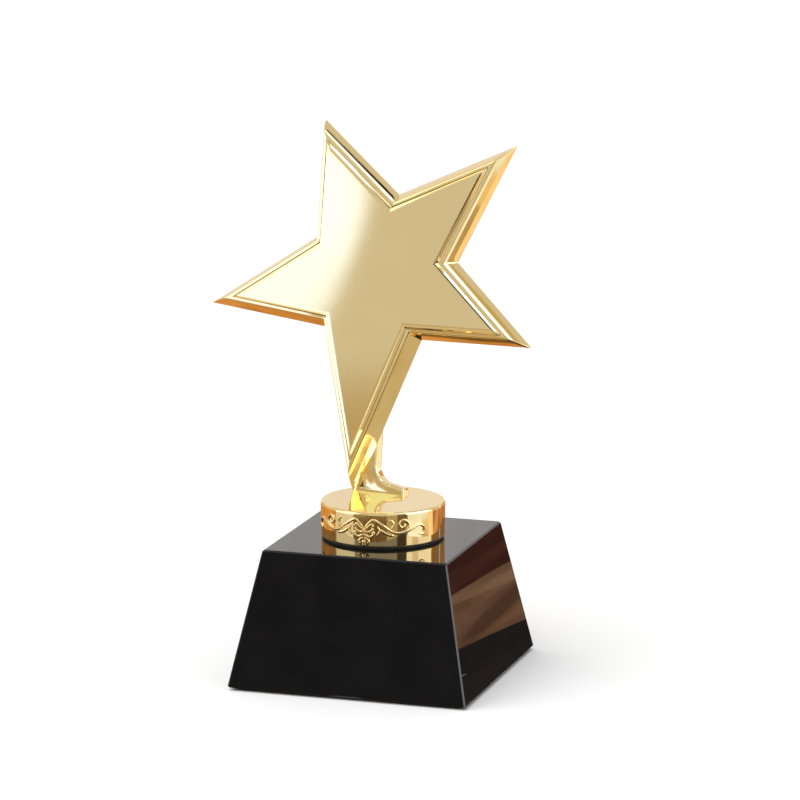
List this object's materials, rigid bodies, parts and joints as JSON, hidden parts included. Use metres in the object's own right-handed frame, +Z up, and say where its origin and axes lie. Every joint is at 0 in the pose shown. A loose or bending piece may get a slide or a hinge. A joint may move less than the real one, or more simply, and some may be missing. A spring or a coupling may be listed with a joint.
{
  "type": "star trophy",
  "caption": "Gold star trophy: a flared star with a flat rim and a raised satin face stands on a round ornamented pedestal and a tapered black crystal base.",
  "frame": {"origin": "centre of the square face that the trophy rests on, on the pedestal's vertical axis", "axes": "+Z up, -Y towards the front of the base and the star's satin face, +X to the right seen from the front"},
  "size_m": [0.0978, 0.0678, 0.15],
  "materials": {
    "polished_gold": "mirror-polished gold plating",
    "satin_gold": "satin gold plating",
    "adhesive": "matt bonding film",
    "plated_screw": "brass-plated",
    "zinc_steel": "zinc-plated",
    "black_rubber": "matt",
    "black_crystal": "polished black crystal"
  },
  "bodies": {
    "root": {"star_casting": "polished_gold", "face_plate": "satin_gold", "plate_adhesive": "adhesive", "support_foot": "polished_gold", "bracket_screws": "plated_screw", "pedestal_drum": "polished_gold", "pedestal_screws": "plated_screw", "pedestal_washers": "zinc_steel", "gasket_ring": "black_rubber", "stud": "zinc_steel", "crystal_base": "black_crystal", "clamp_washer": "zinc_steel", "lock_washer": "zinc_steel", "hex_nut": "zinc_steel", "base_pad": "black_rubber"}
  },
  "joints": []
}
